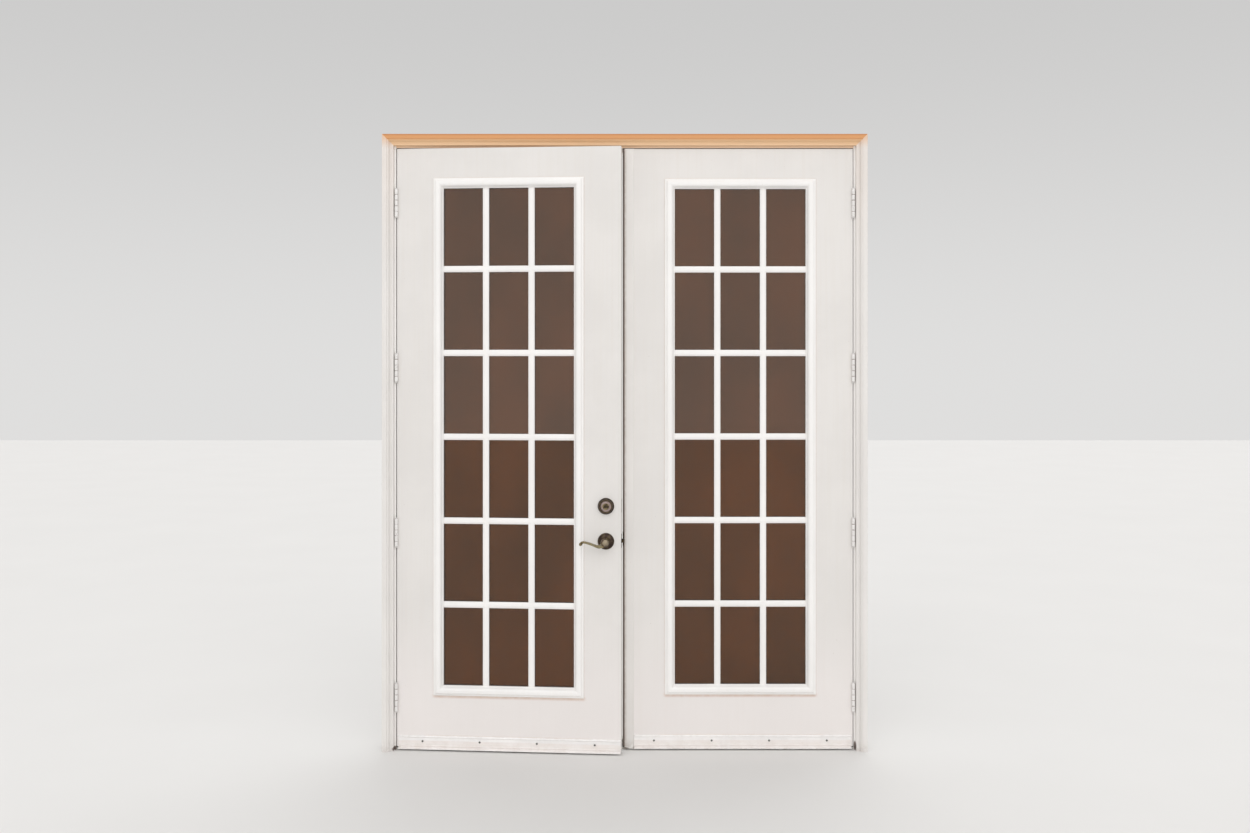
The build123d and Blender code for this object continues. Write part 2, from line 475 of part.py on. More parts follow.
# outer ring and cylinder of the deadbolt, one casting with a bore for the plug
PLUG_R = 6.5
dead_out = turned([(0, 0), (33.0, 0), (33.0, 2.0), ("arc", (32.6, 3.4), (31.4, 4.2)), ("arc", (28.9, 8.6), (28.0, 14.4)), ("arc", (27.2, 16.6), (25.0, 17.4)),
                   (22.6, 17.4), (21.4, 15.2), (18.2, 15.2), ("arc", (17.0, 16.4), (15.4, 16.8)), (0, 16.8)], LOCK_Z, Y_EXT, -1)
dead_out -= rod((XL, Y_EXT + 1, LOCK_Z), (0, -1, 0), PLUG_R + 0.06, 40)
plug = rod((XL, Y_EXT - 0.5, LOCK_Z), (0, -1, 0), PLUG_R, 16.8)
plug -= box(XL - 1.1, XL + 1.1, Y_EXT - 18, Y_EXT - 13.3, LOCK_Z - 4.6, LOCK_Z + 4.2)
dead_in = turned([(0, 0), (33.0, 0), (33.0, 2.0), ("arc", (32.4, 4.0), (30.4, 5.2)), ("arc", (24.0, 8.8), (16.0, 10.4)), (12.0, 10.8), (0, 10.8)], LOCK_Z, Y_IN, 1)
dead_in -= rod((XL, Y_IN - 1, LOCK_Z), (0, 1, 0), 7.1, 20)
turn = rod((XL, Y_IN + 1.0, LOCK_Z), (0, 1, 0), 7.0, 14.0)
grip = box(XL - 17, XL + 17, Y_IN + 13.0, Y_IN + 30.0, LOCK_Z - 4.0, LOCK_Z + 4.0)
grip = fillet(grip.edges().filter_by(Axis.Z), 6.0)
grip = fillet(grip.edges().filter_by(Axis.Y), 2.6)
turn += grip
turn += box(XL - 1.2, XL + 1.2, Y_EXT + 2.0, Y_IN + 2.0, LOCK_Z - 4.0, LOCK_Z + 4.0)

# roses and levers
NECK_R = 11.0
ROSE = [(0, 0), (33.0, 0), (33.0, 2.2), ("arc", (32.5, 3.6), (31.2, 4.2)), (29.6, 4.4), (28.6, 6.2), ("arc", (22.6, 9.2), (15.6, 10.4)), (0, 10.4)]
rose_out = turned(ROSE, LEVER_Z, Y_EXT, -1) - rod((XL, Y_EXT + 1, LEVER_Z), (0, -1, 0), NECK_R + 0.1, 20)
rose_in = turned(ROSE, LEVER_Z, Y_IN, 1) - rod((XL, Y_IN - 1, LEVER_Z), (0, 1, 0), NECK_R + 0.1, 20)
for z, y, part in ((LEVER_Z, Y_IN, "rose"), (LOCK_Z, Y_IN, "dead")):
    for dz in (-20.0, 20.0):
        s, c = flat_screw((XL, y + 8.4, z + dz), (0, -1, 0), 2.6, 1.4, 1.6, 8.4 + SLAB_T + 2.6)
        lock_screws.append(s)
        c = c + rod((XL, y + 8.4, z + dz), (0, 1, 0), 2.6, 4)
        if part == "rose":
            rose_in -= c
            rose_out -= c
        else:
            dead_in -= c
            dead_out -= c

ARM = [(0, -1, 11.5), (-10, -10.5, 8.5), (-22, -16.2, 6.2), (-34, -13.6, 5.0), (-48, -8.2, 4.5), (-62, -3.4, 4.3), (-75, 0.2, 4.1),
       (-85, 1.6, 4.1), (-91.5, -0.8, 4.9), (-95.5, -6.6, 6.3)]


def lever(y, s):
    """Hub, neck and curved arm. s is -1 outside and +1 inside."""
    neck = rod((XL, y + s * 1.0, LEVER_Z), (0, s, 0), NECK_R, 45.0)
    hub = turned([(0, 40), (14.0, 40), (15.4, 42), ("arc", (15.2, 52.0), (10.0, 56.0)), (0, 57.4)], LEVER_Z, y, s)
    arm = None
    for (ax, az, ar), (bx, bz, br) in zip(ARM, ARM[1:]):
        pair = Sketch() + [Pos(ax, az) * Circle(ar), Pos(bx, bz) * Circle(br)]
        piece = make_hull(pair.edges())
        arm = piece if arm is None else arm + piece
    lo, hi = sorted((y + s * 43.0, y + s * 53.0))
    bar = extrude(Plane(origin=(XL, hi, LEVER_Z), x_dir=(1, 0, 0), z_dir=(0, -1, 0)) * arm, amount=hi - lo)
    return neck + hub + bar


lever_out, lever_in = lever(Y_EXT, -1), lever(Y_IN, 1)
spindle = box(XL - 4, XL + 4, Y_EXT - 12.0, Y_IN + 12.0, LEVER_Z - 4, LEVER_Z + 4)
lever_out -= spindle
lever_in -= spindle

# ------------------------------------------------------------------ nodes
put("right_jamb", jamb_r)
put("left_jamb", flip(jamb_r))
put("head_jamb", head)
put("right_casing", side)
put("left_casing", flip(side))
put("head_casing", top)
put("sill_base", base)
put("sill_saddle", saddle)
put("sill_gasket", sill_gasket)
put("frame_weatherstrips", strip_side, flip(strip_side), strip_head)
put("flush_bolt_strike", bolt_strike)
put("jamb_hinge_leaves", *jamb_plates, *[flip(s) for s in jamb_plates])
put("hinge_pins", *pins, *[flip(s) for s in pins])
put("frame_screws", *frame_screws)

put("inactive_slab", slab_inactive)
put("inactive_outer_lite_frame", ext_ring)
put("inactive_inner_lite_frame", int_ring)
put("inactive_glass_panes", outer_pane, inner_pane)
put("inactive_glass_spacer", spacer)
put("inactive_outer_grille", ext_bars)
put("inactive_inner_grille", int_bars)
put("inactive_lite_screws", *lite_screws)
put("inactive_hinge_leaves", *door_plates)
put("inactive_hinge_screws", *door_screws)
put("inactive_drip_sweep", sweep_inactive)
put("inactive_sweep_screws", *sweep_screws)
put("astragal", astragal)
put("astragal_gasket", gasket)
put("astragal_screws", *ast_screws)
put("latch_strike", latch_strike)
put("deadbolt_strike", dead_strike)
put("flush_bolt_plates", *bolt_cases)
put("top_flush_bolt", bolts[0])
put("bottom_flush_bolt", bolts[1])

active = {
    "active_slab": [slab_active],
    "active_outer_lite_frame": [flip(ext_ring)],
    "active_inner_lite_frame": [flip(int_ring)],
    "active_glass_panes": [flip(outer_pane), flip(inner_pane)],
    "active_glass_spacer": [flip(spacer)],
    "active_outer_grille": [flip(ext_bars)],
    "active_inner_grille": [flip(int_bars)],
    "active_lite_screws": [flip(s) for s in lite_screws],
    "active_hinge_leaves": [flip(s) for s in door_plates],
    "active_hinge_screws": [flip(s) for s in door_screws],
    "active_drip_sweep": [flip(sweep_strip)],
    "active_sweep_screws": [flip(s) for s in sweep_screws],
    "deadbolt_outer_ring": [dead_out],
    "deadbolt_key_plug": [plug],
    "deadbolt_inner_rose": [dead_in],
    "deadbolt_thumbturn": [turn],
    "deadbolt_case": [bolt_case],
    "deadbolt_bolt": [dead_bolt],
    "outer_rose": [rose_out],
    "inner_rose": [rose_in],
    "outer_lever": [lever_out],
    "inner_lever": [lever_in],
    "lever_spindle": [spindle],
    "latch_case": [latch_case],
    "latch_tongue": [tongue],
    "lock_screws": lock_screws,
}
hinge = Axis((-AXIS_X, Y_AXIS, 0), (0, 0, 1))
for name, shapes in active.items():
    nodes[name] = [s.rotate(hinge, -REST_DEG) for s in solids(shapes)]

for name, parts in nodes.items():
    shape = parts[0] if len(parts) == 1 else Compound(parts)
    export_step(shape, f"parts/{name}.step")
    print(name, len(parts), round(sum(p.volume for p in parts)))
print(len(nodes), "nodes")
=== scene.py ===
import bpy
import bmesh
import math
from mathutils import Vector, Matrix


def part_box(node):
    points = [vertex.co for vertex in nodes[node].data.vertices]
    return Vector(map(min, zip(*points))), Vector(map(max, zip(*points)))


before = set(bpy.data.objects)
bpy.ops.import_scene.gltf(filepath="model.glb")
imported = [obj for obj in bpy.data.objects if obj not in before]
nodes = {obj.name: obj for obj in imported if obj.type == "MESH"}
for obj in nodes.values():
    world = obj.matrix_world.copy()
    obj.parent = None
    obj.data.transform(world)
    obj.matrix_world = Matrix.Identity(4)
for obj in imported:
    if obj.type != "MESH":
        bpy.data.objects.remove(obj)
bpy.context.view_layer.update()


# ------------------------------------------------------------------ node helpers
class Tree:
    """Short names for building a material's node tree."""

    def __init__(self, name):
        self.mat = bpy.data.materials.new(name)
        self.mat.use_nodes = True
        self.nt = self.mat.node_tree
        self.nt.nodes.clear()
        self.out = self.nt.nodes.new("ShaderNodeOutputMaterial")
        self.bsdf = self.nt.nodes.new("ShaderNodeBsdfPrincipled")
        self.nt.links.new(self.bsdf.outputs[0], self.out.inputs[0])
        self.coord = self.nt.nodes.new("ShaderNodeTexCoord").outputs["Object"]
        self._xyz = None

    def put(self, socket, value):
        if isinstance(value, bpy.types.NodeSocket):
            self.nt.links.new(value, socket)
        else:
            socket.default_value = value

    def shader(self, **inputs):
        for key, value in inputs.items():
            self.put(self.bsdf.inputs[key.replace("_", " ")], value)

    def xyz(self):
        if self._xyz is None:
            n = self.nt.nodes.new("ShaderNodeSeparateXYZ")
            self.nt.links.new(self.coord, n.inputs[0])
            self._xyz = n.outputs
        return self._xyz

    def noise(self, scale=(1, 1, 1), detail=4.0, rough=0.55, offset=(0, 0, 0), distort=0.0):
        m = self.nt.nodes.new("ShaderNodeMapping")
        m.inputs["Scale"].default_value = scale if isinstance(scale, tuple) else (scale,) * 3
        m.inputs["Location"].default_value = offset
        self.nt.links.new(self.coord, m.inputs[0])
        n = self.nt.nodes.new("ShaderNodeTexNoise")
        n.inputs["Scale"].default_value = 1.0
        n.inputs["Detail"].default_value = detail
        n.inputs["Roughness"].default_value = rough
        n.inputs["Distortion"].default_value = distort
        self.nt.links.new(m.outputs[0], n.inputs["Vector"])
        return n.outputs["Fac"]

    def math(self, op, a, b=0.0, clamp=False):
        n = self.nt.nodes.new("ShaderNodeMath")
        n.operation = op
        n.use_clamp = clamp
        self.put(n.inputs[0], a)
        self.put(n.inputs[1], b)
        return n.outputs[0]

    def ramp(self, value, lo, hi, out_lo=0.0, out_hi=1.0, smooth=True):
        n = self.nt.nodes.new("ShaderNodeMapRange")
        n.interpolation_type = "SMOOTHSTEP" if smooth else "LINEAR"
        n.clamp = True
        self.put(n.inputs["Value"], value)
        for key, v in (("From Min", lo), ("From Max", hi), ("To Min", out_lo), ("To Max", out_hi)):
            n.inputs[key].default_value = v
        return n.outputs["Result"]

    def mix(self, fac, a, b):
        n = self.nt.nodes.new("ShaderNodeMix")
        n.data_type = "RGBA"
        self.put(n.inputs[0], fac)
        for socket, v in ((n.inputs[6], a), (n.inputs[7], b)):
            self.put(socket, v if isinstance(v, bpy.types.NodeSocket) else tuple(v) + (1.0,))
        return n.outputs[2]

    def crevice(self, distance):
        n = self.nt.nodes.new("ShaderNodeAmbientOcclusion")
        n.samples = 6
        n.inputs["Distance"].default_value = distance
        return self.math("SUBTRACT", 1.0, n.outputs["AO"], clamp=True)

    def edge(self):
        return self.nt.nodes.new("ShaderNodeNewGeometry").outputs["Pointiness"]

    def outside(self):
        """1 on faces turned to the outer side, 0 on the rest."""
        n = self.nt.nodes.new("ShaderNodeSeparateXYZ")
        self.nt.links.new(self.coord.node.outputs["Normal"], n.inputs[0])
        return self.ramp(n.outputs[1], -0.8, -0.4, 1.0, 0.0)

    def bump(self, height, strength, distance):
        n = self.nt.nodes.new("ShaderNodeBump")
        n.inputs["Strength"].default_value = strength
        n.inputs["Distance"].default_value = distance
        self.nt.links.new(height, n.inputs["Height"])
        self.nt.links.new(n.outputs[0], self.bsdf.inputs["Normal"])


WHITE = (0.785, 0.762, 0.738)
# a lighter copy of the white: painted highlight on the glazing frames and bars, and painted light lifting the head
# jamb's shade
LIT_WHITE = (0.925, 0.912, 0.898)


# ------------------------------------------------------------------ materials
def paint(name, base=WHITE, grain="Z", low_dirt=0.5, crevice=0.5, rough=0.36, relief=0.5, seed=0.0, head=None,
          dirt_and_shade_tone=(0.50, 0.36, 0.27), reach=0.010, start=0.30, spots=(), around_lite=False, gap_shade_to=None):
    """Brushed white paint: brush marks along the grain, faint blotches, grime and painted shade in
    crevices, dirt towards the foot, and painted warm bounce light and shade towards the head.
    spots are (x, z, half width, half height) of small dark patches of painted shade at the foot's gap."""
    t = Tree(name)
    lo, hi = 5.0, 420.0
    along = {"Z": (hi, hi, lo), "X": (lo, hi, hi)}[grain]
    wide = {"Z": (90.0, 90.0, 2.2), "X": (2.2, 90.0, 90.0)}[grain]
    off = (seed, seed * 0.7, seed * 1.3)
    fine, brush = t.noise(along, 3.0, 0.6, off), t.noise(wide, 4.0, 0.55, off)
    blotch = t.noise(3.2, 5.0, 0.6, off)
    speck = t.noise(46.0, 4.0, 0.7, off)
    color = t.mix(t.ramp(blotch, 0.35, 0.68), [c * 0.955 for c in base], base)
    color = t.mix(t.math("MULTIPLY", t.ramp(brush, 0.42, 0.75), 0.22), color, (base[0] * 0.93, base[1] * 0.905, base[2] * 0.87))
    z = t.xyz()[2]
    # splash and dust above the ground
    foot = t.ramp(z, 0.0, 0.34, 1.0, 0.0)
    foot = t.math("MULTIPLY", foot, t.ramp(t.noise((16.0, 16.0, 9.0), 6.0, 0.7, off), 0.40, 0.72))
    color = t.mix(t.math("MULTIPLY", foot, low_dirt * 0.22), color, (0.56, 0.44, 0.37))
    near = t.math("MULTIPLY", t.ramp(z, 0.0, 0.05, 1.0, 0.0), t.ramp(speck, 0.36, 0.62))
    color = t.mix(t.math("MULTIPLY", near, low_dirt * 0.8), color, (0.23, 0.155, 0.11))
    if head == "full":
        # painted warm bounce light and shade under the head: pale peach below, turning to a deeper orange along the
        # outer band
        color = t.mix(t.ramp(z, 2.436, 2.464, 0.88, 0.95), color, (0.82, 0.530, 0.285))
        color = t.mix(t.ramp(z, 2.454, 2.466), color, (0.69, 0.325, 0.125))
        color = t.mix(t.ramp(z, 2.474, 2.481), color, (0.54, 0.215, 0.070))
    elif head == "fade":
        # painted warm bounce light, fading up the side casings towards the head
        warm = t.math("ADD", t.ramp(z, 1.9, 2.42, 0.0, 0.10), t.ramp(z, 2.418, 2.476, 0.0, 0.62))
        color = t.mix(warm, color, (0.76, 0.45, 0.24))
    elif head == "edge":
        # painted warm bounce light: peach on the outer edge only
        color = t.mix(t.ramp(t.xyz()[1], -0.060, -0.040, 0.92, 0.0), color, PAINTED_BOUNCE_PEACH)
    # grime and painted shade: darker where the surface is occluded, in crevices and between parts
    soiled_shade_mask = t.math("MULTIPLY", t.ramp(t.crevice(reach), start, start + 0.5), t.ramp(speck, 0.28, 0.66, 0.45, 1.0))
    if around_lite:
        # painted light: brighter paint on the hinge edge, lifting the shade in the narrow hinge-side gap
        across = t.math("ABSOLUTE", t.xyz()[0])
        color = t.mix(t.ramp(across, 0.9165, 0.9195, 0.0, 0.85), color, (0.925, 0.905, 0.885))
        # painted warm bounce light: the lower rail's outer face is a little paler and pinker
        color = t.mix(t.math("MULTIPLY", t.ramp(z, 0.12, 0.65, 0.6, 0.0), t.outside()), color, (0.872, 0.822, 0.806))
        # grime and painted shade only about the glazing frame, and a warm painted shadow under its lower edge
        within = t.math("MULTIPLY", t.ramp(across, 0.120, 0.150), t.ramp(across, 0.785, 0.815, 1.0, 0.0))
        soiled_shade_mask = t.math("MULTIPLY", soiled_shade_mask, within)
        painted_shadow_line = t.math("MULTIPLY", t.ramp(z, 0.2085, 0.2185), t.ramp(z, 0.2250, 0.2290, 1.0, 0.0))
        painted_shadow_line = t.math("MULTIPLY", painted_shadow_line, t.math("MULTIPLY", t.ramp(across, 0.150, 0.172), t.ramp(across, 0.761, 0.783, 1.0, 0.0)))
        painted_shadow_line = t.math("MULTIPLY", painted_shadow_line, t.outside())
        color = t.mix(t.math("MULTIPLY", painted_shadow_line, t.ramp(speck, 0.28, 0.66, 0.45, 0.75)), color, (0.62, 0.45, 0.36))
    color = t.mix(t.math("MULTIPLY", soiled_shade_mask, crevice), color, dirt_and_shade_tone)
    if gap_shade_to is not None:
        # painted shade: a dark line along the flange's free edge in the meeting gap, up to this x
        line = t.math("MULTIPLY", t.ramp(t.xyz()[0], gap_shade_to - 0.006, gap_shade_to + 0.004, 1.0, 0.0), t.ramp(speck, 0.30, 0.62, 0.55, 1.0))
        line = t.math("MULTIPLY", line, t.ramp(t.xyz()[1], -0.058, -0.050, 0.5, 0.0))
        color = t.mix(line, color, (0.42, 0.33, 0.27))
    # painted shade: small dark patches in the gap at the foot
    for sx, sz, rx, rz in spots:
        dx = t.math("DIVIDE", t.math("SUBTRACT", t.xyz()[0], sx), rx)
        dz = t.math("DIVIDE", t.math("SUBTRACT", z, sz), rz)
        far = t.math("ADD", t.math("MULTIPLY", dx, dx), t.math("MULTIPLY", dz, dz))
        patch = t.ramp(t.math("ADD", far, t.math("MULTIPLY", t.noise(140.0, 5.0, 0.7, off), 0.9)), 0.75, 1.5, 1.0, 0.0)
        outside = t.ramp(t.xyz()[1], -0.045, -0.025, 0.9, 0.0)
        color = t.mix(t.math("MULTIPLY", patch, outside), color, (0.085, 0.048, 0.034))
    # sparse chips and pits
    chip = t.ramp(t.noise(150.0, 2.0, 0.5, off), 0.775, 0.80)
    color = t.mix(t.math("MULTIPLY", chip, 0.55), color, (0.34, 0.27, 0.22))
    t.shader(Base_Color=color, Roughness=t.math("ADD", t.math("MULTIPLY", brush, 0.22), rough - 0.08))
    t.shader(Specular_IOR_Level=0.42, Coat_Weight=0.05, Coat_Roughness=0.3)
    height = t.math("ADD", t.math("MULTIPLY", fine, 0.35), t.math("MULTIPLY", brush, 0.65))
    t.bump(t.math("SUBTRACT", height, t.math("MULTIPLY", chip, 0.8)), relief, 0.00035)
    return t.mat


def white_metal(name, base=(0.81, 0.80, 0.785), knuckles=False, crevice=0.62, shaded_band=None):
    """Painted metal: smoother than the timber, scuffed on its edges. With knuckles,
    grime and chipped paint follow the joints between the hinges' knuckles."""
    t = Tree(name)
    blotch, fine = t.noise(9.0, 5.0, 0.6), t.noise(210.0, 3.0, 0.6)
    color = t.mix(t.ramp(blotch, 0.38, 0.7), [c * 0.93 for c in base], base)
    worn = t.math("MULTIPLY", t.ramp(t.edge(), 0.53, 0.60), t.ramp(t.noise(60.0, 4.0, 0.7), 0.46, 0.64))
    color = t.mix(t.math("MULTIPLY", worn, 0.6), color, (0.45, 0.41, 0.36))
    if knuckles:
        # height above a hinge's foot, in knuckles
        turn = t.math("DIVIDE", t.math("FLOORED_MODULO", t.math("SUBTRACT", t.xyz()[2], 0.15585), 0.66467), 0.02286)
        nearest = t.math("ABSOLUTE", t.math("SUBTRACT", turn, t.math("ROUND", turn)))
        joint = t.math("MULTIPLY", t.ramp(nearest, 0.02, 0.13, 1.0, 0.0), t.ramp(t.noise(55.0, 4.0, 0.7), 0.36, 0.60, 0.15, 1.0))
        # only about the pins, not across the flat leaves
        dx = t.math("SUBTRACT", t.math("ABSOLUTE", t.xyz()[0]), 0.922)
        dy = t.math("ADD", t.xyz()[1], 0.066)
        off_pin = t.math("SQRT", t.math("ADD", t.math("MULTIPLY", dx, dx), t.math("MULTIPLY", dy, dy)))
        joint = t.math("MULTIPLY", joint, t.ramp(off_pin, 0.0080, 0.0100, 0.85, 0.0))
        color = t.mix(joint, color, (0.28, 0.24, 0.205))
        flake = t.ramp(t.noise((120.0, 120.0, 45.0), 4.0, 0.7), 0.62, 0.66)
        color = t.mix(t.math("MULTIPLY", flake, 0.55), color, (0.34, 0.30, 0.27))
    if shaded_band:
        # painted shade: a pinkish darker band between two heights, on the sweep's angled face
        film = t.math("MULTIPLY", t.ramp(t.xyz()[2], shaded_band[0] - 0.004, shaded_band[0] + 0.004), t.ramp(t.xyz()[2], shaded_band[1] - 0.003, shaded_band[1] + 0.003, 1.0, 0.0))
        film = t.math("MULTIPLY", film, t.ramp(t.noise((14.0, 14.0, 60.0), 5.0, 0.65), 0.34, 0.62, 0.55, 1.0))
        color = t.mix(film, color, [c * f for c, f in zip(base, (0.91, 0.875, 0.85))])
    # grime and painted shade: darker in the creases and beside the knuckles, where the surface is occluded
    soiled_shade_mask = t.math("MULTIPLY", t.ramp(t.crevice(0.006), 0.3, 0.95), crevice)
    color = t.mix(soiled_shade_mask, color, (0.40, 0.34, 0.29) if knuckles else (0.24, 0.19, 0.15))
    low = t.math("MULTIPLY", t.ramp(t.xyz()[2], 0.0, 0.075, 1.0, 0.0), t.ramp(t.noise(30.0, 6.0, 0.7), 0.38, 0.68))
    color = t.mix(t.math("MULTIPLY", low, 0.16), color, (0.42, 0.32, 0.26))
    t.shader(Base_Color=color, Roughness=t.ramp(blotch, 0.3, 0.7, 0.28, 0.42), Specular_IOR_Level=0.5)
    t.bump(fine, 0.25, 0.00015)
    return t.mat


def bare_metal(name, base, rough, streak, tarnish=0.3, dark=(0.16, 0.13, 0.10)):
    t = Tree(name)
    lines, blotch = t.noise(streak, 4.0, 0.6), t.noise(24.0, 6.0, 0.65)
    color = t.mix(t.ramp(lines, 0.3, 0.7), [c * 0.86 for c in base], base)
    color = t.mix(t.math("MULTIPLY", t.ramp(blotch, 0.45, 0.75), tarnish), color, dark)
    color = t.mix(t.math("MULTIPLY", t.ramp(t.crevice(0.004), 0.3, 0.95), 0.7), color, [c * 0.5 for c in dark])
    t.shader(Base_Color=color, Metallic=1.0, Roughness=t.ramp(blotch, 0.3, 0.75, rough, rough + 0.2))
    t.bump(lines, 0.25, 0.0001)
    return t.mat


def bronze(name, lift=1.0, rubbed=0.75, around=None, bands=()):
    """Dark aged bronze whose raised edges are rubbed to an olive brass. bands are
    (inner radius, outer radius, colour, strength) about the axis through around: rings of
    rubbed wear, painted highlight and painted shade."""
    t = Tree(name)
    blotch, fine = t.noise(70.0, 6.0, 0.65), t.noise(420.0, 3.0, 0.6)
    dark, mid = (0.040, 0.026, 0.022), (0.105, 0.078, 0.050)
    color = t.mix(t.ramp(blotch, 0.38, 0.72), [c * lift for c in dark], [c * lift for c in mid])
    if around:
        x, _, z = t.xyz()
        dx, dz = t.math("SUBTRACT", x, around[0]), t.math("SUBTRACT", z, around[1])
        far = t.math("SQRT", t.math("ADD", t.math("MULTIPLY", dx, dx), t.math("MULTIPLY", dz, dz)))
        for r0, r1, tone, amount in bands:
            band = t.math("MULTIPLY", t.ramp(far, r0 - 0.0008, r0 + 0.0008), t.ramp(far, r1 - 0.0008, r1 + 0.0008, 1.0, 0.0))
            band = t.math("MULTIPLY", band, t.ramp(blotch, 0.30, 0.60, 0.55, 1.0))
            color = t.mix(t.math("MULTIPLY", band, amount), color, tone)
    rub = t.math("MULTIPLY", t.ramp(t.edge(), 0.505, 0.56), t.ramp(t.noise(130.0, 4.0, 0.6), 0.34, 0.6))
    color = t.mix(t.math("MULTIPLY", rub, rubbed), color, (0.30, 0.24, 0.12))
    color = t.mix(t.math("MULTIPLY", t.ramp(t.crevice(0.004), 0.3, 0.9), 0.8), color, (0.012, 0.009, 0.008))
    t.shader(Base_Color=color, Metallic=0.9, Roughness=t.ramp(blotch, 0.3, 0.75, 0.27, 0.48))
    t.bump(t.math("ADD", t.math("MULTIPLY", blotch, 0.6), t.math("MULTIPLY", fine, 0.4)), 0.3, 0.00025)
    return t.mat


def rubber(name, base=(0.035, 0.030, 0.027), dusty=0.5):
    t = Tree(name)
    dust = t.noise(60.0, 6.0, 0.7)
    color = t.mix(t.math("MULTIPLY", t.ramp(dust, 0.42, 0.72), dusty), base, (0.16, 0.135, 0.11))
    t.shader(Base_Color=color, Roughness=t.ramp(dust, 0.3, 0.7, 0.6, 0.82))
    t.bump(t.noise(500.0, 2.0, 0.5), 0.2, 0.0002)
    return t.mat


def glass(name):
    """Pane tinted dark red-brown, evenly: painted shade of the unlit room behind it and painted
    reflection of warm surroundings, with a thin film of dust that gathers along the bars and a few dried splashes near
    the foot."""
    t = Tree(name)
    z = t.xyz()[2]
    painted_dark_tint = t.mix(t.ramp(t.noise((2.6, 2.6, 1.6), 4.0, 0.6), 0.36, 0.68), (0.335, 0.175, 0.080), (0.265, 0.148, 0.072))
    film = t.noise((30.0, 30.0, 14.0), 6.0, 0.7)
    dust = t.math("MULTIPLY", t.ramp(t.crevice(0.016), 0.10, 0.80), t.ramp(film, 0.34, 0.64, 0.4, 1.0))
    painted_dark_tint = t.mix(t.math("MULTIPLY", dust, 0.30), painted_dark_tint, (0.30, 0.26, 0.21))
    spots = t.math("MULTIPLY", t.ramp(t.noise(95.0, 2.0, 0.5), 0.71, 0.75), t.ramp(z, 0.24, 0.44, 1.0, 0.0))
    painted_dark_tint = t.mix(t.math("MULTIPLY", spots, 0.5), painted_dark_tint, (0.55, 0.49, 0.43))
    t.shader(Base_Color=painted_dark_tint, Roughness=t.ramp(film, 0.35, 0.75, 0.01, 0.05), IOR=1.45, Transmission_Weight=0.93)
    t.shader(Specular_IOR_Level=0.5)
    return t.mat


def saddle(name):
    t = Tree(name)
    lines, foot = t.noise((6.0, 300.0, 300.0), 4.0, 0.6), t.noise((12.0, 30.0, 30.0), 6.0, 0.7)
    color = t.mix(t.ramp(lines, 0.3, 0.7), (0.46, 0.445, 0.42), (0.60, 0.585, 0.56))
    color = t.mix(t.math("MULTIPLY", t.ramp(foot, 0.42, 0.7), 0.55), color, (0.25, 0.19, 0.15))
    t.shader(Base_Color=color, Metallic=0.85, Roughness=t.ramp(foot, 0.3, 0.7, 0.34, 0.62))
    t.bump(lines, 0.35, 0.00025)
    return t.mat


def middle(node):
    """(x, z) of the middle of a node's box."""
    low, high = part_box(node)
    return (low.x + high.x) / 2, (low.z + high.z) / 2


# rubbed wear, painted highlight and painted shade in rings about the deadbolt's and the lever's axes
RING_WEAR_HIGHLIGHT_SHADE = ((0.0125, 0.0205, (0.43, 0.335, 0.322), 0.88), (0.0, 0.0118, (0.030, 0.016, 0.016), 0.85))
HUB_WEAR_HIGHLIGHT_SHADE = ((0.0, 0.0125, (0.40, 0.34, 0.24), 0.70), (0.0125, 0.0160, (0.16, 0.12, 0.08), 0.6),
              (0.0190, 0.0860, (0.250, 0.240, 0.170), 0.78), (0.0885, 0.1150, (0.040, 0.028, 0.018), 0.9))
# peach of the painted warm bounce light under the head
PAINTED_BOUNCE_PEACH = (0.79, 0.545, 0.350)
# warm pink grime and painted shade for the crevices about the glazing frames
PINK_DIRT_AND_SHADE = (0.60, 0.405, 0.300)
# painted shade: (x, z, half width, half height) of the dark gap at the foot on each side
FOOT_GAP_SHADE = ((-0.927, 0.007, 0.0120, 0.0100), (0.9285, 0.014, 0.0048, 0.0260))

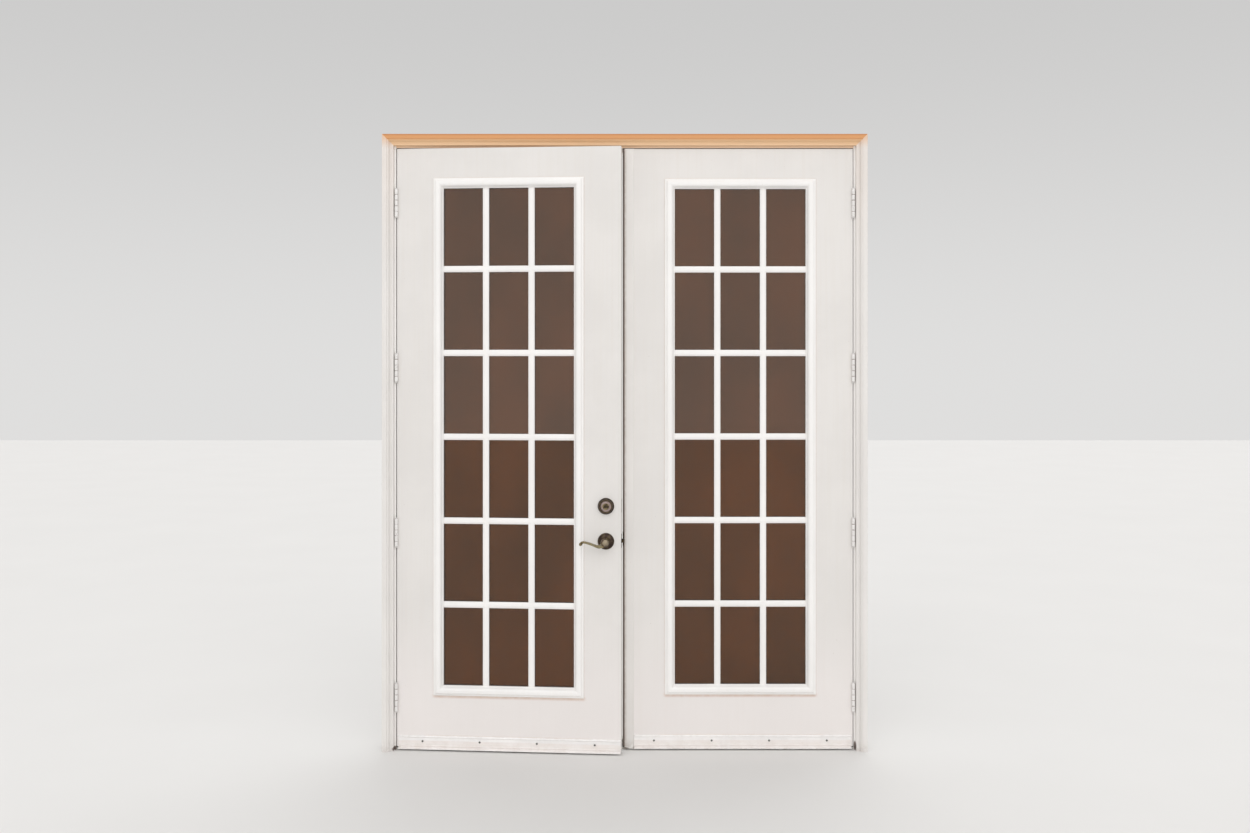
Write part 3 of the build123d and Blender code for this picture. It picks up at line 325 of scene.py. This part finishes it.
M = {
    # painted light: the jamb's white is lighter than the rest, lifting the shade on the recessed jamb
    "jamb": paint("jamb_paint", base=(0.925, 0.905, 0.885), grain="Z", seed=1.0, low_dirt=0.5, crevice=0.0, spots=FOOT_GAP_SHADE),
    "head": paint("head_jamb_paint", base=LIT_WHITE, grain="X", seed=2.0, crevice=0.15, head="edge", dirt_and_shade_tone=(0.45, 0.25, 0.15)),
    "casing": paint("casing_paint", base=[c * 1.02 for c in WHITE], grain="Z", seed=3.0, low_dirt=0.2, crevice=0.2, head="fade", spots=FOOT_GAP_SHADE),
    "head_casing": paint("head_casing_paint", grain="X", seed=4.0, crevice=0.3, head="full", dirt_and_shade_tone=(0.50, 0.25, 0.11)),
    "astragal": paint("astragal_paint", grain="Z", seed=6.0, low_dirt=0.5, crevice=0.8, dirt_and_shade_tone=(0.26, 0.18, 0.13), reach=0.016, start=0.42, gap_shade_to=0.006,
                      base=[c * 1.03 for c in WHITE], spots=((0.004, 0.005, 0.0140, 0.0065),)),
    "gasket": rubber("gasket_rubber", (0.120, 0.078, 0.062), dusty=0.25),
    "hinge": white_metal("hinge_paint", (0.87, 0.855, 0.84), knuckles=True, crevice=0.12),
    "deadbolt_ring": bronze("deadbolt_ring_bronze", around=middle("deadbolt_outer_ring"), bands=RING_WEAR_HIGHLIGHT_SHADE),
    "lever": bronze("lever_bronze", 1.9, around=middle("outer_rose"), bands=HUB_WEAR_HIGHLIGHT_SHADE),
    # painted shade: a darker copy of the bronze for the key plug, and for the latch and strikes in the meeting gap
    "shaded_bronze": bronze("shaded_bronze", 0.6, rubbed=0.12),
    "slab_a": paint("active_slab_paint", grain="Z", seed=5.0, low_dirt=0.2, spots=FOOT_GAP_SHADE, crevice=0.75, dirt_and_shade_tone=PINK_DIRT_AND_SHADE, start=0.12,
                    around_lite=True),
    "slab_i": paint("inactive_slab_paint", grain="Z", seed=7.0, low_dirt=0.2, spots=FOOT_GAP_SHADE, crevice=0.75, dirt_and_shade_tone=PINK_DIRT_AND_SHADE, start=0.12,
                    around_lite=True),
    "lite_a": paint("active_moulding_paint", base=LIT_WHITE, grain="Z", seed=9.0, low_dirt=0.2, relief=0.25, crevice=0.4, rough=0.30),
    "lite_i": paint("inactive_moulding_paint", base=LIT_WHITE, grain="Z", seed=11.0, low_dirt=0.2, relief=0.25, crevice=0.4, rough=0.30),
    "bars": paint("bar_paint", base=LIT_WHITE, grain="Z", seed=13.0, low_dirt=0.2, relief=0.2, crevice=0.35, rough=0.30),
    "sill": paint("sill_paint", base=(0.60, 0.56, 0.51), grain="X", seed=15.0, low_dirt=1.0, crevice=0.8),
    "metal": white_metal("painted_metal"),
    # painted highlight: the sweep gets a lighter white than the other painted metal
    "sweep": white_metal("sweep_paint", (0.945, 0.925, 0.915), crevice=0.15, shaded_band=(0.010, 0.040)),
    "steel": bare_metal("plated_steel", (0.60, 0.58, 0.54), 0.28, (120.0, 120.0, 120.0), 0.45),
    "dull_steel": bare_metal("weathered_steel", (0.20, 0.205, 0.19), 0.42, (120.0, 120.0, 120.0), 0.6, dark=(0.07, 0.06, 0.05)),
    "spacer": bare_metal("spacer_aluminium", (0.66, 0.65, 0.63), 0.34, (20.0, 300.0, 20.0), 0.15),
    "bronze": bronze("aged_bronze"),
    "bronze_light": bronze("rubbed_bronze", 1.9),
    "rubber": rubber("dark_rubber"),
    "pale_rubber": rubber("pale_rubber", (0.66, 0.63, 0.58), dusty=0.2),
    "glass": glass("pane_glass"),
    "saddle": saddle("saddle_aluminium"),
}

LOOK = {
    "right_jamb": "jamb", "left_jamb": "jamb", "head_jamb": "head",
    "right_casing": "casing", "left_casing": "casing", "head_casing": "head_casing",
    "sill_base": "sill", "sill_saddle": "saddle", "sill_gasket": "rubber", "frame_weatherstrips": "pale_rubber",
    "flush_bolt_strike": "steel", "frame_screws": "metal", "jamb_hinge_leaves": "hinge", "hinge_pins": "metal",
    "active_slab": "slab_a", "inactive_slab": "slab_i",
    "active_outer_lite_frame": "lite_a", "active_inner_lite_frame": "lite_a",
    "inactive_outer_lite_frame": "lite_i", "inactive_inner_lite_frame": "lite_i",
    "active_glass_panes": "glass", "inactive_glass_panes": "glass",
    "active_glass_spacer": "spacer", "inactive_glass_spacer": "spacer",
    "active_outer_grille": "bars", "active_inner_grille": "bars", "inactive_outer_grille": "bars", "inactive_inner_grille": "bars",
    "active_lite_screws": "steel", "inactive_lite_screws": "steel",
    "active_hinge_leaves": "hinge", "inactive_hinge_leaves": "hinge",
    "active_hinge_screws": "metal", "inactive_hinge_screws": "metal",
    "active_drip_sweep": "sweep", "inactive_drip_sweep": "sweep",
    "active_sweep_screws": "dull_steel", "inactive_sweep_screws": "dull_steel",
    "deadbolt_outer_ring": "deadbolt_ring", "deadbolt_key_plug": "shaded_bronze", "deadbolt_inner_rose": "bronze", "deadbolt_thumbturn": "bronze_light",
    "deadbolt_case": "steel", "deadbolt_bolt": "steel", "latch_case": "shaded_bronze", "latch_tongue": "shaded_bronze",
    "outer_rose": "bronze", "inner_rose": "bronze", "outer_lever": "lever", "inner_lever": "lever",
    "lever_spindle": "steel", "lock_screws": "bronze",
    "astragal": "astragal", "astragal_gasket": "gasket", "astragal_screws": "steel",
    "latch_strike": "shaded_bronze", "deadbolt_strike": "shaded_bronze", "flush_bolt_plates": "steel",
    "top_flush_bolt": "steel", "bottom_flush_bolt": "steel",
}
assert set(LOOK) == set(nodes), set(LOOK) ^ set(nodes)
for name, obj in nodes.items():
    obj.data.materials.clear()
    obj.data.materials.append(M[LOOK[name]])

# ------------------------------------------------------------------ softened edges on the frame's own pieces
SOFT = {
    "right_jamb": 0.5, "left_jamb": 0.5, "head_jamb": 0.7, "active_slab": 0.5, "inactive_slab": 0.5,
    "astragal": 0.6, "sill_base": 0.8, "jamb_hinge_leaves": 0.4, "active_hinge_leaves": 0.4, "inactive_hinge_leaves": 0.4,
    "outer_lever": 1.3, "inner_lever": 1.3, "latch_strike": 0.4, "active_drip_sweep": 0.3, "inactive_drip_sweep": 0.3,
}
for name, width in SOFT.items():
    obj = nodes[name]
    weld = obj.modifiers.new("weld", "WELD")
    weld.merge_threshold = 0.00001
    bevel = obj.modifiers.new("soft_edges", "BEVEL")
    bevel.width = width / 1000.0
    bevel.segments = 2
    bevel.limit_method = "ANGLE"
    bevel.angle_limit = math.radians(40.0)
    bevel.use_clamp_overlap = True

# ------------------------------------------------------------------ stage, light, camera
bpy.ops.mesh.primitive_plane_add(size=40.0, location=(0, 0, 0))
floor = bpy.context.object
floor.name = "floor"
t = Tree("floor_matt")
t.shader(Base_Color=t.mix(t.noise(1.4, 3.0, 0.5), (0.73, 0.722, 0.71), (0.76, 0.752, 0.74)), Roughness=0.8)
floor.data.materials.append(t.mat)

world = bpy.data.worlds.new("studio")
world.use_nodes = True
wt = world.node_tree
sky = wt.nodes["Background"]
# a plain backdrop: pale where it meets the floor, a little dimmer above that and
# brightest overhead
split = wt.nodes.new("ShaderNodeSeparateXYZ")
wt.links.new(wt.nodes.new("ShaderNodeTexCoord").outputs["Generated"], split.inputs[0])


def backdrop(low, high, start, end):
    """low below the height start, end above the height high, blended between."""
    rise = wt.nodes.new("ShaderNodeMapRange")
    rise.interpolation_type = "SMOOTHSTEP"
    for key, v in (("From Min", low), ("From Max", high), ("To Min", 0.0), ("To Max", 1.0)):
        rise.inputs[key].default_value = v
    wt.links.new(split.outputs[2], rise.inputs["Value"])
    blend = wt.nodes.new("ShaderNodeMix")
    blend.data_type = "RGBA"
    for socket, v in ((blend.inputs[6], start), (blend.inputs[7], end)):
        if isinstance(v, tuple):
            socket.default_value = v
        else:
            wt.links.new(v, socket)
    wt.links.new(rise.outputs["Result"], blend.inputs[0])
    return blend.outputs[2]


near_floor = backdrop(-0.02, 0.30, (0.74, 0.735, 0.728, 1.0), (0.60, 0.597, 0.593, 1.0))
wt.links.new(backdrop(0.30, 0.70, near_floor, (0.98, 0.975, 0.97, 1.0)), sky.inputs[0])
sky.inputs[1].default_value = 1.0
bpy.context.scene.world = world


def sun(name, toward, strength, spread, color=(1, 1, 1)):
    """A very soft light that shines along toward."""
    data = bpy.data.lights.new(name, "SUN")
    data.energy = strength
    data.angle = math.radians(spread)
    data.color = color
    lamp = bpy.data.objects.new(name, data)
    bpy.context.scene.collection.objects.link(lamp)
    lamp.rotation_euler = Vector(toward).to_track_quat("-Z", "Y").to_euler()
    return lamp


sun("key", (-0.03, 1.0, -0.40), 0.92, 75, (1.0, 0.985, 0.98))
sun("back", (-0.3, -1.0, -0.9), 0.50, 60)

cam = bpy.data.cameras.new("camera")
cam.sensor_fit = "HORIZONTAL"
cam.sensor_width = 36.0
cam.lens = 37.0
cam.shift_x = -0.008
cam.shift_y = -0.045
cam.clip_end = 100.0
camera = bpy.data.objects.new("camera", cam)
bpy.context.scene.collection.objects.link(camera)
camera.location = (0.041, -5.248, 1.573)
camera.rotation_euler = (math.radians(90.0), 0.0, 0.0)
bpy.context.scene.camera = camera
bpy.context.scene.view_settings.view_transform = "Standard"

# ------------------------------------------------------------------ update the view layer
bpy.context.view_layer.update()
